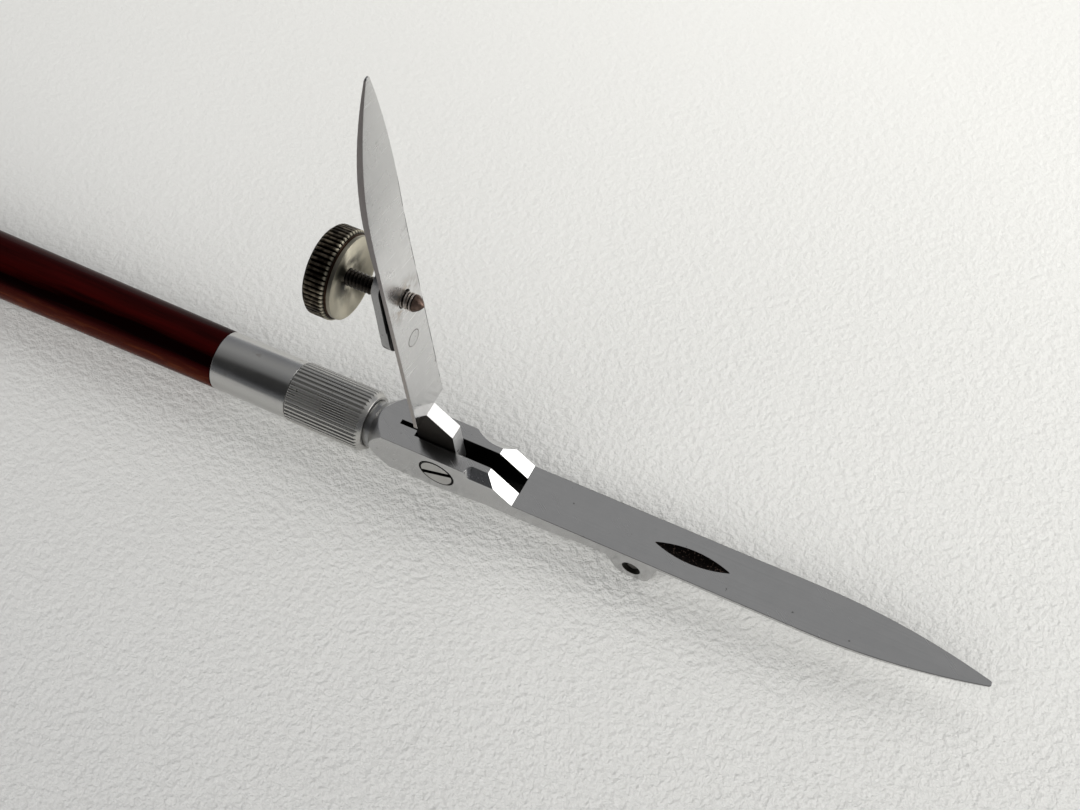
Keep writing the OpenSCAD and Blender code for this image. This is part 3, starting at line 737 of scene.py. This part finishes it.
def make_handle(material):
    front_r, widest, length = radius_of("ferrule"), radius_of("handle"), length_of("handle")
    swell = length - HANDLE_END_LEN

    def drawn_in(x):
        return (x, widest - HANDLE_END_ARC + math.sqrt(HANDLE_END_ARC ** 2 - (x - swell) ** 2))

    steps = [swell + HANDLE_END_LEN * i / 16 for i in range(17)]
    profile = softened([(0, TANG_R), (0, front_r), (swell, widest)], HANDLE_FRONT_ROUND)[:-1]
    profile += [drawn_in(x) for x in steps[:-2]]
    profile += softened([drawn_in(steps[-2]), drawn_in(steps[-1]), (length, 0.0)], HANDLE_END_ROUND)
    place = axis_place("handle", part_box("handle")[1].x)
    verts, faces = turned(place, -ALONG, filled(profile, 3.0), ROUND_SEGMENTS)
    mesh_object("handle_turned", verts, faces, "pen", "handle", material)


def make_ferrule(material):
    r, length = radius_of("ferrule"), length_of("ferrule")
    rim_len, rim = FERRULE_RIM
    corners = [(0, TANG_R), (0, r - rim), (rim_len, r), (length, r), (length, TANG_R)]
    place = axis_place("ferrule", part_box("ferrule")[0].x)
    verts, faces = turned(place, ALONG, softened(corners, FINE_ROUND), ROUND_SEGMENTS, loop=True)
    mesh_object("ferrule_turned", verts, faces, "pen", "ferrule", material)


def knurl(ridges, depth, top):
    """Relief of straight ridges with rounded crests and narrow grooves, under the profile's own radius."""
    def radius(share, along, r):
        phase = abs((share * ridges) % 1 - 0.5) * 2
        share_down = min(1.0, max(0.0, (phase - CREST_SHARE) / (1 - CREST_SHARE)))
        groove = depth * share_down ** GROOVE_POWER
        return min(r, top - groove) if r > top - depth else r
    return radius


def make_collar(material):
    r, length = radius_of("knurled_collar"), length_of("knurled_collar")
    seat = length - COLLAR_RECESS
    corners = [(0, SHANK_R), (0, r - COLLAR_RIM), (COLLAR_RIM, r), (length - COLLAR_CONE, r),
               (length, COLLAR_FACE_R), (length, COLLAR_BORE_R), (seat, COLLAR_BORE_R), (seat, SHANK_R)]
    soft = softened(corners, EDGE_ROUND)
    profile = []
    for a, b in zip(soft, soft[1:]):
        on_cone = b[0] > length - COLLAR_CONE - EDGE_ROUND and a[1] > COLLAR_FACE_R
        steps = 10 if on_cone else 1
        for i in range(steps):
            profile.append((a[0] + (b[0] - a[0]) * i / steps, a[1] + (b[1] - a[1]) * i / steps))
    profile.append(corners[-1])
    place = axis_place("knurled_collar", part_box("knurled_collar")[0].x)
    verts, faces = turned(place, ALONG, profile, COLLAR_RIDGES * COLLAR_RIDGE_SEGMENTS,
                          relief=knurl(COLLAR_RIDGES, COLLAR_GROOVE, r), loop=True)
    mesh_object("collar_knurled", verts, faces, "pen", "knurled_collar", material)


def make_knob(material):
    r = radius_of("thumb_knob") - 0.01
    rim = length_of("thumb_knob") - KNOB_STEP
    screw_r = radius_of("screw_shank")
    dish_steps = 12
    dish_r = KNOB_STEP_R - KNOB_LIP
    dish = [(rim + KNOB_STEP - KNOB_DISH * math.sin(math.pi / 2 * i / dish_steps),
             dish_r + (screw_r - dish_r) * i / dish_steps) for i in range(dish_steps + 1)]
    bevel_len, bevel = KNOB_FRONT_BEVEL
    undercut_r = KNOB_STEP_R - KNOB_UNDERCUT
    corners = [(KNOB_CHAMFER, screw_r), (KNOB_CHAMFER * 0.3, r * 0.35), (0, r * 0.7), (0, r - KNOB_CHAMFER),
               (KNOB_CHAMFER, r), (rim - bevel_len, r), (rim, r - bevel), (rim, undercut_r),
               (rim + KNOB_UNDERCUT, undercut_r), (rim + KNOB_UNDERCUT_END, KNOB_STEP_R),
               (rim + KNOB_STEP, KNOB_STEP_R)]
    profile = softened(corners + [dish[0], dish[1]], EDGE_ROUND)[:-1] + dish[1:]
    place = axis_place("thumb_knob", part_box("thumb_knob")[0].x)
    verts, faces = turned(place, ALONG, profile, KNOB_TEETH * KNOB_TOOTH_SEGMENTS,
                          relief=knurl(KNOB_TEETH, KNOB_TOOTH, r), loop=True)
    mesh_object("knob_knurled", verts, faces, "thumbscrew", "thumb_knob", material)


def make_screw(material):
    r, length = radius_of("screw_shank"), length_of("screw_shank")
    rows = round(length / THREAD_PITCH * THREAD_ROWS)
    profile = [(0, STEM_R)] + [(length * i / rows, r) for i in range(rows + 1)] + [(length, STEM_R)]

    def thread(share, along, radius):
        if radius < r:
            return radius
        phase = abs((along / THREAD_PITCH - share) % 1 - 0.5) * 2
        ends = min(1.0, along / THREAD_PITCH, (length - along) / THREAD_PITCH)
        return r - THREAD_DEPTH * (phase ** THREAD_POWER) * max(THREAD_END_SHARE, ends)

    place = axis_place("screw_shank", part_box("screw_shank")[0].x)
    verts, faces = turned(place, ALONG, profile, THREAD_SEGMENTS, relief=thread, loop=True)
    mesh_object("screw_threaded", verts, faces, "thumbscrew", "screw_shank", material, 50)


def make_tip(material):
    low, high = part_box("screw_tip")
    r = radius_of("screw_tip")
    base = high.x - TIP_CONE * MM
    nose = TIP_CONE - TIP_BULLET
    flank = math.hypot(r, nose)
    out = Vector((r, nose)) / flank
    centre = Vector((nose, r)) / 2 - out * math.sqrt(TIP_ARC ** 2 - (flank / 2) ** 2)
    steps = 20
    bullet = [(TIP_BULLET + t, centre.y + math.sqrt(TIP_ARC ** 2 - (t - centre.x) ** 2))
              for t in (nose * i / steps for i in range(steps))]
    stem = (base - low.x) / MM
    start, stop = TIP_RING
    neck = r - TIP_GROOVE
    corners = [(-stem, 0.0), (-stem, STEM_R), (0, STEM_R), (0, neck), (start, neck), (start, r), (stop, r),
               (stop, neck), (TIP_BULLET - 0.02, neck), (TIP_BULLET, r - 0.01)]
    profile = softened(corners, FINE_ROUND) + bullet[1:] + [(TIP_CONE, 0.0)]
    verts, faces = turned(axis_place("screw_tip", base), ALONG, profile, SMALL_SEGMENTS)
    mesh_object("tip_bullet", verts, faces, "screw_end", "screw_tip", material, 50)


def leaf_reach(share, low, high, half):
    """Distance from the origin to the edge of a round-ended leaf, in the direction of a share of a turn."""
    across, up = math.cos(TURN * share), math.sin(TURN * share)
    straight = half / max(abs(across), 1e-9)
    centre = min(max(straight * up, low + half), high - half)
    if centre == straight * up:
        return straight
    return up * centre + math.sqrt(half ** 2 - (centre * across) ** 2)


def plate_lift(up):
    """How far the nut plate stands off the blade, by height above the screw: its top end rests on it."""
    low, high = (corner.z / MM - SCREW_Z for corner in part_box("nut_plate"))
    if up > PLATE_BEND:
        return PLATE_GAP * (high - up) / (high - PLATE_BEND)
    return PLATE_GAP + (PLATE_END_GAP - PLATE_GAP) * (PLATE_BEND - up) / (PLATE_BEND - low)


def make_nut_plate(material):
    """Thick round-ended leaf with a bore for the screw, bent off the blade towards the hinge."""
    low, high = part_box("nut_plate")
    ends = (low.z / MM - SCREW_Z, high.z / MM - SCREW_Z)
    inner = [(i / PLATE_STEPS, PLATE_EDGE, 0.0) for i in range(PLATE_STEPS + 1)]
    outer = [(1 - i / PLATE_STEPS, PLATE_EDGE, PLATE_T) for i in range(PLATE_STEPS + 1)]
    rings = inner + [(1, 0.0, PLATE_EDGE), (1, 0.0, PLATE_T - PLATE_EDGE)] + outer
    verts, faces = [], []
    for part, inset, depth in rings:
        for i in range(PLATE_SEGMENTS):
            share = i / PLATE_SEGMENTS
            reach = BORE_R + (leaf_reach(share, *ends, PLATE_W / 2) - inset - BORE_R) * part
            across, up = reach * math.cos(TURN * share), reach * math.sin(TURN * share)
            verts.append((high.x - (plate_lift(up) + depth) * MM, across * MM, (SCREW_Z + up) * MM))
    for ring in range(len(rings)):
        a, b = ring * PLATE_SEGMENTS, (ring + 1) % len(rings) * PLATE_SEGMENTS
        for i in range(PLATE_SEGMENTS):
            j = (i + 1) % PLATE_SEGMENTS
            faces.append((a + i, b + i, b + j, a + j))
    mesh_object("nut_plate_leaf", verts, faces, "upper_arm", "nut_plate", material)


def make_rivet(material):
    """Countersunk rivet, flush in the blade and a little proud of the nut plate."""
    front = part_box("plate_rivet")[1].x
    outer = UPPER_T + plate_lift(RIVET_Z - SCREW_Z) + PLATE_T + RIVET_PROUD
    corners = [(0, 0.0), (0, RIVET_END_R), (UPPER_T, RIVET_R), (outer, RIVET_R), (outer, 0.0)]
    profile = corners[:3] + softened(corners[2:], FINE_ROUND)[1:]
    verts, faces = turned(Vector((front, 0, RIVET_Z * MM)), -ALONG, profile, SMALL_SEGMENTS)
    mesh_object("rivet_turned", verts, faces, "upper_arm", "plate_rivet", material)


def make_object():
    ground = blade_steel("blade_steel_ground", 0.62, 0.2, SLANTING, soil_and_shade=lower_blade_soil_and_shade)
    polished = blade_steel("blade_steel_polished", 0.735, 0.26, ACROSS, 0.7, UP_BLADE,
                           upper_blade_soil_and_shade, upper_blade_polish)
    dress("lower_blade", ground, EDGE_ROUND)
    dress("upper_blade", polished, EDGE_ROUND)
    make_nut_plate(blade_steel("blade_steel_plate", 0.33, 0.25, SLANTING, soil_and_shade=nut_plate_gap_shade))
    make_rivet(blade_steel("rivet_steel", 0.67, 0.26, ACROSS, 0.7, UP_BLADE, rivet_soil))
    dress("pivot_screw", turned_metal("pivot_steel", (0.58, 0.57, 0.55, 1), 0.2, soil_and_shade=pivot_soil), EDGE_ROUND)
    dress("cross_pin", turned_metal("pin_steel", (0.14, 0.13, 0.12, 1), 0.3), EDGE_ROUND)
    dress("back_spring", turned_metal("spring_steel_dark", (0.10, 0.097, 0.093, 1), 0.35))
    dress("handle_tang", turned_metal("tool_steel_polished", (0.5, 0.49, 0.47, 1), 0.2))
    make_handle(handle_finish())
    make_ferrule(turned_metal("nickel_plate_turned", (0.58, 0.575, 0.56, 1), 0.2, line_depth=0.0004))
    make_collar(turned_metal("nickel_plate_knurled", (0.58, 0.57, 0.545, 1), 0.26))
    make_knob(knob_finish())
    make_screw(thread_finish())
    make_tip(tip_finish())


bpy.context.scene.view_settings.view_transform = "Standard"
make_camera()
make_floor()
for lamp in LAMPS:
    make_lamp(*lamp)
make_room()
make_object()
